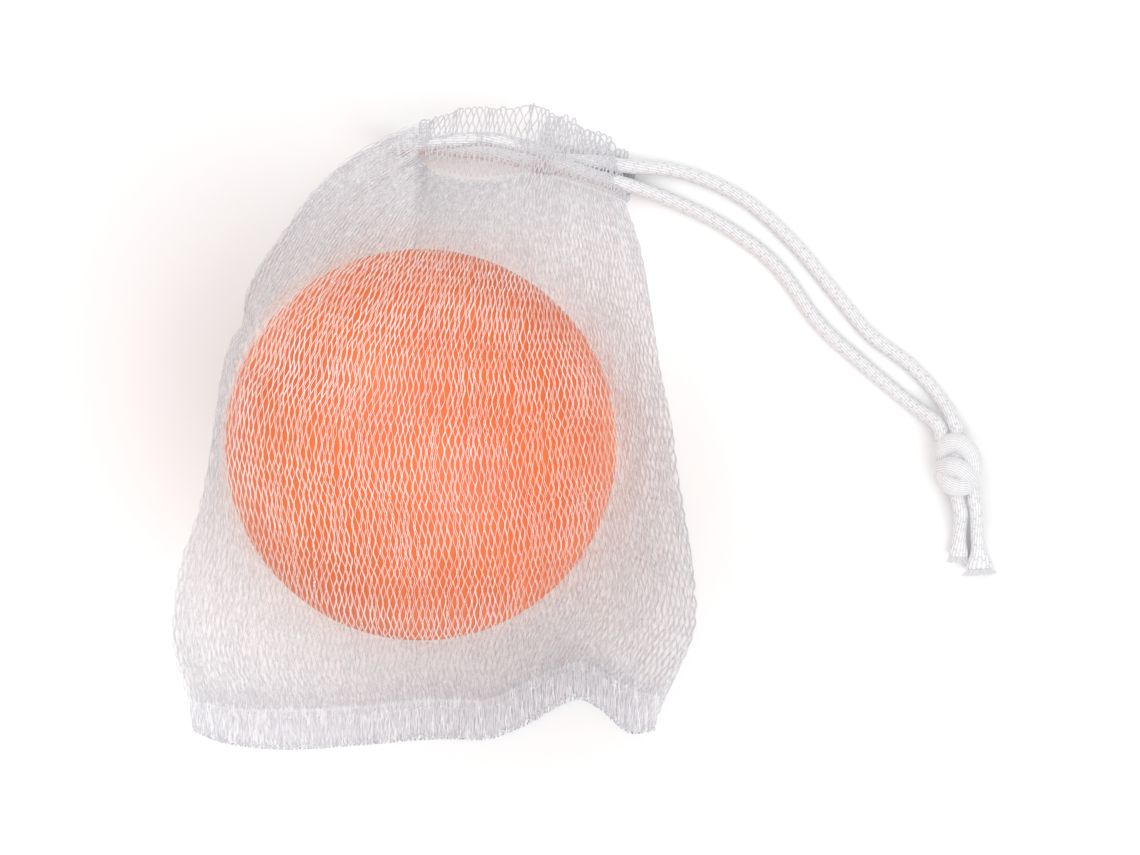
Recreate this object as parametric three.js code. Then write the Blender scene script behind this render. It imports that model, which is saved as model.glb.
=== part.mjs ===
// A small drawcord net pouch with a ball in it, lying on its back layer.
// Millimetres, +Z up. The origin is on the surface that the pouch lies on, straight under the ball's centre.
// +Y runs from the closed bottom to the gathered mouth, and +X to the side where the cord comes out.
import * as THREE from "three";
import { ParametricGeometry } from "three/addons/geometries/ParametricGeometry.js";

// ---- The ball ----
const BALL_DIAMETER = 73; // a standard hockey-type ball
const COVER_WALL = 4; // each moulded half of the cover
const NET_TO_BALL = 0.6; // room between the ball and the net over it

// ---- The net pouch ----
const BAG_WIDTH = 101; // at its widest, a little above the bottom corners
const BAG_TOP = 58.5; // from the ball's centre to the mouth line
const BAG_BOTTOM = 49.5; // from the ball's centre to the top of the hem
const MOUTH_WIDTH = 49; // the mouth as the cord has gathered it
const MOUTH_SHIFT = 14.5; // from the ball's centre to the mouth's middle, along X
const NET_WALL = 0.8; // one layer of net with its lofted yarns
const HEM_DEPTH = 7; // the doubled band along the closed bottom
const HEM_THICKNESS = 2.2;
const FRILL_DEPTH = 7.5; // the net's free edge beyond the cord
const FRILL_DROP = 2; // how far the front frill sags towards its edge
const LIP_HEIGHT = 16; // how far the front lip stands above the table
const LIP_RAMP = 13; // the stretch of each side over which the lip comes down to the table
const STITCH_WIDTH = 1;
const STITCH_HEIGHT = 0.4;

// ---- The drawcord ----
const CORD_DIAMETER = 2.7;
const CORD_SINK = 2.6; // how far inside the lip's edge the cord runs at the back
const FRONT_SINK = 0.4; // and at the front, where it presses outwards against the frill
const PULL_OVERLAP = 12; // how much of each free run starts inside the mouth
const KNOT_LENGTH = 11;
const KNOT_DIAMETER = 8;
const CORD_LEAD = 3; // a cord runs straight for this far where two of its stretches or the knot meet it
const KNOT_RIM = 0.35; // how far the knot's flat end reaches past the two cords that go in side by side

// ---- Clearance between pieces that touch on the real object ----
const GAP = 0.3;

// ---- How finely the round shapes are cut ----
const CORD_SIDES = 8;
const CORD_STEP = 6; // one section every two or three cord diameters
const RIM_STEPS = { mouth: 14, right: 16, bottom: 16, left: 16 };
const RIB_AROUND = 8;
const RIB_DOWN = 3;
const BALL_ROUND = 32;
const BALL_ARC = 9;

const ballRadius = BALL_DIAMETER / 2;
const cordRadius = CORD_DIAMETER / 2;
const ballZ = NET_WALL + GAP + ballRadius;
const rimZ = NET_WALL + GAP; // where the front layer's edge rests above the back layer

// ---- Materials ----
const netMaterial = () => new THREE.MeshStandardMaterial({ color: 0xd9d4dc, roughness: 0.45, metalness: 0 });
const hemMaterial = () => new THREE.MeshStandardMaterial({ color: 0xe0dbe4, roughness: 0.5, metalness: 0 });
const cordMaterial = () => new THREE.MeshStandardMaterial({ color: 0xf4f3f6, roughness: 0.4, metalness: 0 });
const coverMaterial = () => new THREE.MeshStandardMaterial({ color: 0xf4773a, roughness: 0.4, metalness: 0 });
const coreMaterial = () => new THREE.MeshStandardMaterial({ color: 0x9a6a42, roughness: 0.8, metalness: 0 });

function named(name, geometry, material) {
  const mesh = new THREE.Mesh(geometry, material);
  mesh.name = name;
  return mesh;
}

// ---- The pouch's outline in plan ----
// Each stretch is drawn in shares: x of half the width, y of the distance to the mouth or to the hem.
const LEFT_SIDE = [
  [-0.9, -1],
  [-0.965, -0.75],
  [-0.935, -0.47],
  [-0.86, -0.2],
  [-0.8, 0.08],
  [-0.74, 0.34],
  [-0.69, 0.48],
  [-0.59, 0.65],
  [-0.45, 0.82],
];
const RIGHT_SIDE = [
  [0.76, 0.77],
  [0.81, 0.65],
  [0.86, 0.44],
  [0.92, 0.17],
  [0.968, -0.14],
  [1.006, -0.37],
  [1.035, -0.64],
  [1.0, -0.78],
  [0.935, -0.92],
  [0.88, -1],
];
const HEM_LINE = [
  [0.78, -0.96],
  [0.66, -0.885],
  [0.585, -0.85],
  [0.51, -0.87],
  [0.36, -0.945],
  [0.25, -1],
  [0.05, -1],
  [-0.29, -1.03],
  [-0.6, -1.04],
];
// The mouth line rises from its left end, runs level, and comes down to the corner where the cord leaves.
// Shares here are x of the mouth's width from its middle, y of the distance to the mouth.
const MOUTH_LINE = [
  [-0.5, 0.965],
  [-0.3, 0.998],
  [-0.08, 1],
  [0.15, 0.965],
  [0.35, 0.9],
  [0.5, 0.85],
];

const planPoint = ([x, y]) => new THREE.Vector3((x * BAG_WIDTH) / 2, y * (y > 0 ? BAG_TOP : BAG_BOTTOM), 0);
const mouthPoint = ([x, y]) => new THREE.Vector3(MOUTH_SHIFT + x * MOUTH_WIDTH, y * BAG_TOP, 0);
const mouthStart = mouthPoint(MOUTH_LINE[0]);
const mouthEnd = mouthPoint(MOUTH_LINE.at(-1));

const stretchCurves = {
  mouth: new THREE.CatmullRomCurve3(MOUTH_LINE.map(mouthPoint)),
  right: new THREE.CatmullRomCurve3([mouthEnd, ...RIGHT_SIDE.map(planPoint)]),
  bottom: new THREE.CatmullRomCurve3([RIGHT_SIDE.at(-1), ...HEM_LINE, LEFT_SIDE[0]].map(planPoint)),
  left: new THREE.CatmullRomCurve3([...LEFT_SIDE.map(planPoint), mouthStart]),
};

// Samples of one stretch with the lip's height: full along the mouth, down to the table along the sides.
function rimStretch(name) {
  const curve = stretchCurves[name];
  const length = curve.getLength();
  return curve.getSpacedPoints(RIM_STEPS[name]).map((point, i) => {
    const along = (length * i) / RIM_STEPS[name];
    const fromMouth = { mouth: 0, right: along, bottom: Infinity, left: length - along }[name];
    const lift = 1 - THREE.MathUtils.smoothstep(fromMouth, 0, LIP_RAMP);
    return point.setZ(rimZ + (LIP_HEIGHT - NET_WALL - rimZ) * lift);
  });
}
const rims = {
  mouth: rimStretch("mouth"),
  right: rimStretch("right"),
  bottom: rimStretch("bottom"),
  left: rimStretch("left"),
};
// The closed rim, with the first point of each stretch standing for the last one of the stretch before.
const rim = ["mouth", "right", "bottom", "left"].flatMap((name) => rims[name].slice(0, -1));

// ---- The net's layers ----
// One rib of the front layer, from above the ball's top to the rim: round the ball to where a straight line
// to the rim just touches it, then down that line. The point at the rim comes last.
function rib(edge, radius) {
  const reach = Math.hypot(edge.x, edge.y);
  const fall = ballZ - edge.z;
  const toCentre = Math.hypot(reach, fall);
  // The angle from straight up to the touching point, seen from the ball's centre.
  const touch = Math.PI - Math.atan2(reach, fall) - Math.acos(Math.min(1, radius / toCentre));
  const out = new THREE.Vector3(edge.x / reach, edge.y / reach, 0);
  const onBall = (angle) =>
    out.clone().multiplyScalar(radius * Math.sin(angle)).setZ(ballZ + radius * Math.cos(angle));
  const points = [];
  for (let i = 0; i <= RIB_AROUND; i++) points.push(onBall((touch * i) / RIB_AROUND));
  for (let i = 1; i <= RIB_DOWN; i++) points.push(onBall(touch).lerp(edge, i / RIB_DOWN));
  return points;
}

// The rim point of the layer's outer face: one wall out from the inner one, square to the rib's last stretch.
function outerEdge(edge) {
  const [before, last] = rib(edge, ballRadius + NET_TO_BALL).slice(-2);
  const run = last.clone().sub(before).normalize();
  const out = new THREE.Vector3(edge.x, edge.y, 0).normalize();
  const level = run.dot(out);
  const normal = out.multiplyScalar(-run.z).setZ(level);
  return edge.clone().addScaledVector(normal, NET_WALL);
}

function netFront() {
  const inner = ballRadius + NET_TO_BALL;
  const ribs = rim.map((edge) => [
    ...rib(edge, inner),
    ...rib(outerEdge(edge), inner + NET_WALL).reverse(),
  ]);
  const rows = ribs[0].length - 1;
  const surface = (u, v, target) => {
    const around = ribs[Math.round(v * ribs.length) % ribs.length];
    target.copy(around[Math.round(u * rows)]);
  };
  return named("net_front", new ParametricGeometry(surface, rows, ribs.length), netMaterial());
}

function plate(points, thickness, bottomZ) {
  const shape = new THREE.Shape(points.map((p) => new THREE.Vector2(p.x, p.y)));
  return new THREE.ExtrudeGeometry(shape, { depth: thickness, bevelEnabled: false }).translate(0, 0, bottomZ);
}

const netBack = () => named("net_back", plate(rim, NET_WALL, 0), netMaterial());

// A strip between two rows of points, one wall thick, with flat ends.
function band(inner, outer, thickness) {
  const up = new THREE.Vector3(0, 0, thickness);
  const corners = inner.flatMap((p, i) => [p, outer[i], outer[i].clone().add(up), p.clone().add(up)]);
  const faces = [0, 2, 1, 0, 3, 2];
  for (let i = 0; i < inner.length - 1; i++) {
    for (let k = 0; k < 4; k++) {
      const [a, b] = [4 * i + k, 4 * i + ((k + 1) % 4)];
      faces.push(a, b, a + 4, b, b + 4, a + 4);
    }
  }
  const last = 4 * (inner.length - 1);
  faces.push(last, last + 1, last + 2, last, last + 2, last + 3);
  return new THREE.BufferGeometry().setFromPoints(corners).setIndex(faces);
}
const moved = (points, x, y, z) => points.map((p) => p.clone().add(new THREE.Vector3(x, y, z)));
const atHeight = (points, z) => points.map((p) => p.clone().setZ(z));

function bottomHem() {
  const inner = moved(atHeight(rims.bottom, 0), 0, -NET_WALL - GAP, 0);
  return named("bottom_hem", band(inner, moved(inner, 0, -HEM_DEPTH, 0), HEM_THICKNESS), hemMaterial());
}

function hemStitch() {
  const middle = -NET_WALL - GAP - HEM_DEPTH / 2 + STITCH_WIDTH / 2;
  const inner = moved(atHeight(rims.bottom, HEM_THICKNESS + GAP), 0, middle, 0).slice(1, -1);
  return named("hem_stitch", band(inner, moved(inner, 0, -STITCH_WIDTH, 0), STITCH_HEIGHT), hemMaterial());
}

// The frill beyond the cord follows the mouth line and stands out square to the line between its ends.
function frill(name, z, drop) {
  const across = mouthEnd.clone().sub(mouthStart).normalize();
  const [x, y] = [-across.y, across.x];
  const start = NET_WALL + GAP;
  const inner = moved(atHeight(rims.mouth, z), x * start, y * start, 0);
  const outer = moved(inner, x * FRILL_DEPTH, y * FRILL_DEPTH, -drop);
  return named(name, band(inner, outer, NET_WALL), netMaterial());
}

// ---- The ball ----
// A body turned about the upright axis through the ball's centre, from an outline of [radius, height] points.
function turned(name, outline, material) {
  const profile = outline.map(([r, z]) => new THREE.Vector2(r, z));
  const mesh = named(name, new THREE.LatheGeometry(profile, BALL_ROUND), material);
  mesh.rotation.x = Math.PI / 2;
  mesh.position.z = ballZ;
  return mesh;
}
const arc = (radius, from, to) =>
  Array.from({ length: BALL_ARC + 1 }, (_, i) => {
    const angle = from + ((to - from) * i) / BALL_ARC;
    return [radius * Math.cos(angle), radius * Math.sin(angle)];
  });

// Half of the cover, which ends half a gap above or below the seam round the ball's middle.
function coverHalf(name, side) {
  const inside = ballRadius - COVER_WALL;
  const outside = arc(ballRadius, 0, Math.PI / 2).slice(0, -1);
  const lining = arc(inside, Math.PI / 2, 0).slice(1);
  const half = [...outside, [0, ballRadius], [0, inside], ...lining];
  const lifted = half.map(([r, z]) => [r, side * Math.max(z, GAP / 2)]);
  const outline = side > 0 ? lifted : lifted.reverse();
  return turned(name, [...outline, outline[0]], coverMaterial());
}
function ballCore() {
  const radius = ballRadius - COVER_WALL - GAP;
  const outline = [[0, -radius], ...arc(radius, -Math.PI / 2, Math.PI / 2).slice(1, -1), [0, radius]];
  return turned("ball_core", outline, coreMaterial());
}

// ---- The drawcord ----
// A plain round tube through the points, with flat ends.
function cord(name, points) {
  const path = new THREE.CatmullRomCurve3(points);
  const steps = Math.max(4, Math.round(path.getLength() / CORD_STEP));
  const section = new THREE.Shape();
  for (let i = 0; i < CORD_SIDES; i++) {
    const angle = (2 * Math.PI * i) / CORD_SIDES;
    const [x, y] = [cordRadius * Math.cos(angle), cordRadius * Math.sin(angle)];
    if (i === 0) section.moveTo(x, y);
    else section.lineTo(x, y);
  }
  section.closePath();
  const geometry = new THREE.ExtrudeGeometry(section, { steps, extrudePath: path, bevelEnabled: false });
  return named(name, geometry, cordMaterial());
}

const knotEnd = CORD_DIAMETER + GAP / 2 + KNOT_RIM;
const cordOnNet = NET_WALL + GAP + cordRadius; // the cord's centre where it lies on the back layer
const cordUnderLip = LIP_HEIGHT - NET_WALL - 2 * GAP - cordRadius;
const cordOnTable = cordRadius + 0.1;

// A point of the cord where the mouth holds it: on the mouth line, or the given distance inside it.
function mouthCord(share, sink, z) {
  const curve = stretchCurves.mouth;
  const along = curve.getTangentAt(share);
  return curve.getPointAt(share).add(new THREE.Vector3(along.y * sink, -along.x * sink, 0)).setZ(z);
}
const fromCorner = ([x, y, z = cordOnTable]) => mouthEnd.clone().add(new THREE.Vector3(x, y, 0)).setZ(z);

// The two free runs, from inside the mouth to the knot: [x, y, z] from the mouth's right corner, and z is the
// cord lying on the table where it isn't given.
const LOWER_RUN = [
  [-PULL_OVERLAP, 3.4, 6.2],
  [-6, 1.5, 4.2],
  [0, 0, 2.6],
  [9.5, -3.4],
  [19.5, -8.5],
  [28.2, -15.3],
  [36.8, -26.8],
  [46.4, -35.5],
  [53.6, -41.5],
];
const UPPER_RUN = [
  [-PULL_OVERLAP, 4.7, cordOnNet],
  [-6, 4.4, cordOnNet],
  [0, 3.6, cordOnNet],
  [9.9, 2.6],
  [21.4, -2.2],
  [31.1, -10.5],
  [40.7, -22],
  [46.4, -28.7],
  [54.1, -34.5],
  [59.6, -40.6, 1.8],
];
// A point in line with a run's first stretch, so far behind its start.
function behind(run, distance) {
  const [start, next] = run.slice(0, 2).map(fromCorner);
  return start.clone().addScaledVector(next.sub(start).normalize(), -distance);
}

// The front half of the loop under the front lip, its turn at the mouth's left end, and the back half.
function drawcordLoop() {
  const turn = (cordUnderLip - cordOnNet) / 2;
  const middle = cordOnNet + turn;
  const left = mouthCord(0.2, (CORD_SINK + FRONT_SINK) / 2, middle);
  const outwards = new THREE.Vector3(-1, -0.1, 0).multiplyScalar(turn);
  const turnPoint = (angle) =>
    left.clone().addScaledVector(outwards, Math.sin(angle)).setZ(middle + turn * Math.cos(angle));
  const points = [
    behind(LOWER_RUN, GAP),
    behind(LOWER_RUN, CORD_LEAD),
    mouthCord(0.66, FRONT_SINK, 9),
    mouthCord(0.56, FRONT_SINK, cordUnderLip - 1),
    mouthCord(0.42, FRONT_SINK, cordUnderLip),
    turnPoint(0),
    turnPoint(Math.PI / 4),
    turnPoint(Math.PI / 2),
    turnPoint((3 * Math.PI) / 4),
    turnPoint(Math.PI),
    mouthCord(0.42, CORD_SINK, cordOnNet),
    mouthCord(0.6, CORD_SINK, cordOnNet),
    behind(UPPER_RUN, CORD_LEAD),
    behind(UPPER_RUN, GAP),
  ];
  return cord("drawcord_loop", points);
}

// The knot's axis lies level. Both cords enter its first flat end side by side and leave at the other one.
const KNOT_TOP = [61.6, -48.8, KNOT_DIAMETER / 2];
const knotAxis = new THREE.Vector3(0.25, -0.97, 0).normalize();
const knotSide = new THREE.Vector3(-knotAxis.y, knotAxis.x, 0);
// A point beside the knot's axis, so far along it from the first end and to the given side.
const knotPoint = (along, side) =>
  fromCorner(KNOT_TOP)
    .addScaledVector(knotAxis, along)
    .addScaledVector(knotSide, side * (cordRadius + GAP / 2));

// A run goes in square to the knot's end, with a short straight lead.
function cordRun(name, side, points) {
  return cord(name, [...points.map(fromCorner), knotPoint(-CORD_LEAD, side), knotPoint(-GAP, side)]);
}

function knot() {
  const BULGES = 3;
  const STEPS = 12;
  const profile = [new THREE.Vector2(0, 0), new THREE.Vector2(knotEnd, 0)];
  for (let i = 1; i < STEPS; i++) {
    const share = i / STEPS;
    const swell = Math.sin(Math.PI * share) ** 0.4;
    const ridge = 0.93 - 0.07 * Math.cos(2 * Math.PI * BULGES * share);
    const radius = knotEnd + (KNOT_DIAMETER / 2 - knotEnd) * swell * ridge;
    profile.push(new THREE.Vector2(radius, share * KNOT_LENGTH));
  }
  profile.push(new THREE.Vector2(knotEnd, KNOT_LENGTH), new THREE.Vector2(0, KNOT_LENGTH));
  const mesh = named("knot", new THREE.LatheGeometry(profile, 16), cordMaterial());
  mesh.position.copy(fromCorner(KNOT_TOP));
  mesh.quaternion.setFromUnitVectors(new THREE.Vector3(0, 1, 0), knotAxis);
  return mesh;
}

const LEFT_TAIL = [
  [63.5, -66, 2.2],
  [63.3, -71.2],
];
const RIGHT_TAIL = [
  [66.9, -66.5, 2],
  [67.4, -73.6],
];
function tail(name, side, points) {
  const lead = [knotPoint(KNOT_LENGTH + GAP, side), knotPoint(KNOT_LENGTH + CORD_LEAD, side)];
  return cord(name, [...lead, ...points.map(fromCorner)]);
}

const pouch = new THREE.Group();
pouch.add(
  netFront(),
  netBack(),
  bottomHem(),
  hemStitch(),
  frill("frill_front", LIP_HEIGHT - NET_WALL, FRILL_DROP),
  frill("frill_back", 0, 0),
  drawcordLoop(),
);
const ball = new THREE.Group();
ball.add(ballCore(), coverHalf("ball_cover_upper", 1), coverHalf("ball_cover_lower", -1));
const drawcord = new THREE.Group();
drawcord.add(
  cordRun("cord_run_upper", 1, UPPER_RUN),
  cordRun("cord_run_lower", -1, LOWER_RUN),
  knot(),
  tail("tail_left", -1, LEFT_TAIL),
  tail("tail_right", 1, RIGHT_TAIL),
);

const meshBallBag = new THREE.Group();
meshBallBag.add(pouch, ball, drawcord);
export default meshBallBag;
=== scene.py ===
"""A drawcord net pouch with a ball in it, lying on a table and seen from straight above.

Lengths are in metres, and the lists of points in millimetres, in the frame of the CAD model: the
origin is on the table under the ball's centre, +Y runs to the gathered mouth, and +X to the side where the
drawcord comes out.
"""

import math

import bpy
import numpy as np
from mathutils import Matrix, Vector, noise


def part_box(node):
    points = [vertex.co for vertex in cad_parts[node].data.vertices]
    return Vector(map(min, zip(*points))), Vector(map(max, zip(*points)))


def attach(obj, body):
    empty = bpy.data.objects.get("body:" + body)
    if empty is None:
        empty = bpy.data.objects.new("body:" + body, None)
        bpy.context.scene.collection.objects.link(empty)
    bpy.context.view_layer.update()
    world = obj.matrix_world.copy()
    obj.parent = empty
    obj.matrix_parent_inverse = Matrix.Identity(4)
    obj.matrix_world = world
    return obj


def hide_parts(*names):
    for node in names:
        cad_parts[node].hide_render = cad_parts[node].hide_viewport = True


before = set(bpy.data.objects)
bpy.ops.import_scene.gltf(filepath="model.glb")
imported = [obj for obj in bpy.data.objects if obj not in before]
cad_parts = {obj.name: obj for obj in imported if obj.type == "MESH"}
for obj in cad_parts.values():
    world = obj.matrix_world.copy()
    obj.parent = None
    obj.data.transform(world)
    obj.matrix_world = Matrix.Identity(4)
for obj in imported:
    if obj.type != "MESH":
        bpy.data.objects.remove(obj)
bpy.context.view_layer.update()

MM = 0.001
SEED = 7
rng = np.random.default_rng(SEED)


# ---- Sizes taken from the frame ----
cover_low, cover_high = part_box("ball_cover_lower")[0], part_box("ball_cover_upper")[1]
BALL_RADIUS = (cover_high.z - cover_low.z) / 2
BALL_Z = (cover_high.z + cover_low.z) / 2
CORD_DIAMETER = 2.7 * MM


# ---- Camera, light and table ----
def make_camera():
    """A long lens straight above the bag, with +Y up in the picture."""
    view_width = 219.2 * MM
    data = bpy.data.cameras.new("camera")
    data.lens = 200
    data.sensor_width = 36
    data.clip_end = 20
    camera = bpy.data.objects.new("camera", data)
    camera.location = (27.75 * MM, 3.2 * MM, view_width * data.lens / data.sensor_width)
    bpy.context.scene.collection.objects.link(camera)
    bpy.context.scene.camera = camera


def make_light():
    """Soft light from all sides and two large panels overhead, shown without film-like compression."""
    bpy.context.scene.view_settings.view_transform = "Standard"
    world = bpy.data.worlds.new("studio")
    world.use_nodes = True
    world.node_tree.nodes["Background"].inputs["Color"].default_value = (1, 1, 1, 1)
    world.node_tree.nodes["Background"].inputs["Strength"].default_value = 0.74
    bpy.context.scene.world = world
    panel_size = 0.8
    for name, place, power in (("panel", (-0.4, 0.45, 0.85), 3.4), ("fill", (0.45, -0.4, 0.8), 3.7)):
        data = bpy.data.lights.new(name, "AREA")
        data.size = panel_size
        data.energy = power
        lamp = bpy.data.objects.new(name, data)
        lamp.location = place
        lamp.rotation_euler = (-Vector(place)).to_track_quat("-Z", "Y").to_euler()
        bpy.context.scene.collection.objects.link(lamp)


def make_table():
    """A wide white table, its top just under the lowest yarns."""
    material, _, shader = new_material("table_white")
    shader.inputs["Base Color"].default_value = (0.93, 0.93, 0.93, 1)
    shader.inputs["Roughness"].default_value = 0.9
    half = 2.0
    corners = [(-half, -half, 0), (half, -half, 0), (half, half, 0), (-half, half, 0)]
    table = add_mesh("table", corners, [(0, 1, 2, 3)], material)
    table.location.z = -0.02 * MM


# ---- Small tools ----
def new_material(name):
    """A node material, its node tree and its Principled shader."""
    material = bpy.data.materials.new(name)
    material.use_nodes = True
    shader = material.node_tree.nodes["Principled BSDF"]
    return material, material.node_tree, shader


def add_mesh(name, points, faces, material):
    """A smooth mesh object from points and a list of faces of any number of corners."""
    mesh = bpy.data.meshes.new(name)
    mesh.from_pydata(np.asarray(points, float).tolist(), [], faces)
    mesh.materials.append(material)
    mesh.polygons.foreach_set("use_smooth", [True] * len(mesh.polygons))
    mesh.update()
    piece = bpy.data.objects.new(name, mesh)
    bpy.context.scene.collection.objects.link(piece)
    return piece


def set_attribute(piece, name, values):
    """One number per vertex, which a material can read."""
    layer = piece.data.attributes.new(name, "FLOAT", "POINT")
    layer.data.foreach_set("value", np.asarray(values, np.float32).ravel())


def smoothstep(value, low, high):
    """0 below low and 1 above high, with a soft step between them."""
    t = np.clip((value - low) / (high - low), 0, 1)
    return t * t * (3 - 2 * t)


def through(points, count):
    """count points, evenly spaced, on a centripetal Catmull-Rom curve through a list of points."""
    p = np.asarray(points, float)
    p = np.vstack([2 * p[0] - p[1], p, 2 * p[-1] - p[-2]])
    out = []
    for a, b, c, d in zip(p[:-3], p[1:-2], p[2:-1], p[3:]):
        t0 = 0.0
        t1 = t0 + np.linalg.norm(b - a) ** 0.5
        t2 = t1 + np.linalg.norm(c - b) ** 0.5
        t3 = t2 + np.linalg.norm(d - c) ** 0.5
        t = np.linspace(t1, t2, 24, endpoint=False)[:, None]
        ab = (t1 - t) / (t1 - t0) * a + (t - t0) / (t1 - t0) * b
        bc = (t2 - t) / (t2 - t1) * b + (t - t1) / (t2 - t1) * c
        cd = (t3 - t) / (t3 - t2) * c + (t - t2) / (t3 - t2) * d
        abc = (t2 - t) / (t2 - t0) * ab + (t - t0) / (t2 - t0) * bc
        bcd = (t3 - t) / (t3 - t1) * bc + (t - t1) / (t3 - t1) * cd
        out.append((t2 - t) / (t2 - t1) * abc + (t - t1) / (t2 - t1) * bcd)
    dense = np.vstack([*out, p[-2:-1]])
    return evenly(dense, count)


def evenly(path, count):
    """The path again with count points, evenly spaced along it."""
    step = np.linalg.norm(np.diff(path, axis=0), axis=1)
    along = np.concatenate([[0], np.cumsum(step)])
    wanted = np.linspace(0, along[-1], count)
    return np.stack([np.interp(wanted, along, path[:, k]) for k in range(path.shape[1])], axis=1)


def length_of(path):
    """The path's length along its points."""
    return float(np.linalg.norm(np.diff(path, axis=0), axis=1).sum())


# ---- Materials ----
def add(tree, kind, **inputs):
    """A node of this kind, with some of its inputs set."""
    node = tree.nodes.new(kind)
    for name, value in inputs.items():
        node.inputs[name.replace("_", " ")].default_value = value
    return node


def colour_ramp(tree, source, stops):
    """The colour at source's value, from a list of (value, colour) stops."""
    ramp = tree.nodes.new("ShaderNodeValToRGB")
    elements = ramp.color_ramp.elements
    while len(elements) < len(stops):
        elements.new(0.5)
    for element, (place, colour) in zip(elements, stops):
        element.position = place
        element.color = (*colour, 1)
    tree.links.new(source, ramp.inputs["Fac"])
    return ramp.outputs["Color"]


def attribute(tree, name):
    """The number that set_attribute gave each vertex."""
    node = tree.nodes.new("ShaderNodeAttribute")
    node.attribute_name = name
    return node.outputs["Fac"]


def bump(tree, shader, height, strength, distance):
    node = add(tree, "ShaderNodeBump", Strength=strength, Distance=distance)
    tree.links.new(height, node.inputs["Height"])
    tree.links.new(node.outputs["Normal"], shader.inputs["Normal"])


def mixed(tree, factor, first, second):
    """The first colour where factor is 0 and the second where it is 1. The second may be a plain colour."""
    mix = tree.nodes.new("ShaderNodeMix")
    mix.data_type = "RGBA"
    tree.links.new(factor, mix.inputs["Factor"])
    tree.links.new(first, mix.inputs["A"])
    if isinstance(second, tuple):
        mix.inputs["B"].default_value = second
    else:
        tree.links.new(second, mix.inputs["B"])
    return mix.outputs["Result"]


def object_noise(tree, scale, detail=2.0, stretch=(1, 1, 1)):
    """Noise fixed to the piece. A stretch below 1 draws the pattern out along that axis."""
    place = tree.nodes.new("ShaderNodeTexCoord")
    mapping = tree.nodes.new("ShaderNodeMapping")
    mapping.inputs["Scale"].default_value = stretch
    texture = add(tree, "ShaderNodeTexNoise", Scale=scale, Detail=detail)
    tree.links.new(place.outputs["Object"], mapping.inputs["Vector"])
    tree.links.new(mapping.outputs["Vector"], texture.inputs["Vector"])
    return texture.outputs["Fac"]


def filament_material(name, plain, lit, glint, glint_shape=(1, 0.3, 0.3)):
    """White monofilament, painted grey as shade, with painted warm light bounced from the ball where it lies
    close to it, painted sheen in patches there, and painted white glints.

    plain is its painted grey away from the ball, and lit is its painted bounce light near it. glint, from 0
    to 1, is how white the painted glints are.
    """
    material, tree, shader = new_material(name)
    streaks = object_noise(tree, 900)
    cool = colour_ramp(tree, streaks, [(0.3, plain), (0.7, tuple(min(1, c * 1.12) for c in plain))])
    # Painted bounce light from the orange ball, with painted sheen in near-white patches, mixed in where the
    # yarns lie near the ball.
    sheen_patches = object_noise(tree, 60, 3, stretch=(0.4, 1.2, 1))
    warm = colour_ramp(tree, sheen_patches, [(0.42, lit), (0.62, (1.0, 0.9, 0.87))])
    with_painted_bounce = mixed(tree, attribute(tree, "ball_bounce_mask"), cool, warm)
    # Painted glints: white flecks, drawn out along one axis, laid over the yarn's colour.
    glint_noise = object_noise(tree, 2300, 2, stretch=glint_shape)
    glint_mask = colour_ramp(tree, glint_noise, [(0.5, (0, 0, 0)), (0.62, (glint, glint, glint))])
    with_glints = mixed(tree, glint_mask, with_painted_bounce, (1, 1, 1, 1))
    tree.links.new(with_glints, shader.inputs["Base Color"])
    shader.inputs["Roughness"].default_value = 0.32
    shader.inputs["IOR"].default_value = 1.5
    return material


def cord_material():
    """Satin braid: bright filaments, with painted shade in the grooves between the bundles."""
    material, tree, shader = new_material("satin_cord")
    # Painted shade: grey where the bundles dip, bright on their tops.
    colour = colour_ramp(
        tree, attribute(tree, "groove_shade"),
        [(0.0, (0.45, 0.45, 0.48)), (0.6, (0.70, 0.70, 0.72)), (1, (0.85, 0.85, 0.86))],
    )
    tree.links.new(colour, shader.inputs["Base Color"])
    fine = object_noise(tree, 2500, 3)
    rough = add(tree, "ShaderNodeMapRange", To_Min=0.28, To_Max=0.5)
    tree.links.new(fine, rough.inputs["Value"])
    tree.links.new(rough.outputs["Result"], shader.inputs["Roughness"])
    bump(tree, shader, fine, 0.25, 0.05 * MM)
    shader.inputs["Sheen Weight"].default_value = 0.2
    return material


def ball_material():
    """Moulded orange shell: even satin orange, faintly mottled, with fine moulding grain."""
    material, tree, shader = new_material("moulded_orange")
    cloud = object_noise(tree, 60, 4)
    colour = colour_ramp(tree, cloud, [(0.3, (0.76, 0.15, 0.035)), (0.7, (0.84, 0.205, 0.05))])
    tree.links.new(colour, shader.inputs["Base Color"])
    grain = object_noise(tree, 1600, 2)
    rough = add(tree, "ShaderNodeMapRange", To_Min=0.35, To_Max=0.5)
    tree.links.new(cloud, rough.inputs["Value"])
    tree.links.new(rough.outputs["Result"], shader.inputs["Roughness"])
    bump(tree, shader, grain, 0.15, 0.1 * MM)
    return material


def cork_material():
    """Brown cork with dark grains, for the ball's core."""
    material, tree, shader = new_material("cork_core")
    place = tree.nodes.new("ShaderNodeTexCoord")
    cells = add(tree, "ShaderNodeTexVoronoi", Scale=500.0)
    tree.links.new(place.outputs["Object"], cells.inputs["Vector"])
    depth = cells.outputs["Distance"]
    colour = colour_ramp(tree, depth, [(0.1, (0.42, 0.22, 0.1)), (0.7, (0.2, 0.09, 0.04))])
    tree.links.new(colour, shader.inputs["Base Color"])
    shader.inputs["Roughness"].default_value = 0.85
    bump(tree, shader, depth, 0.4, 0.3 * MM)
    return material


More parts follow.
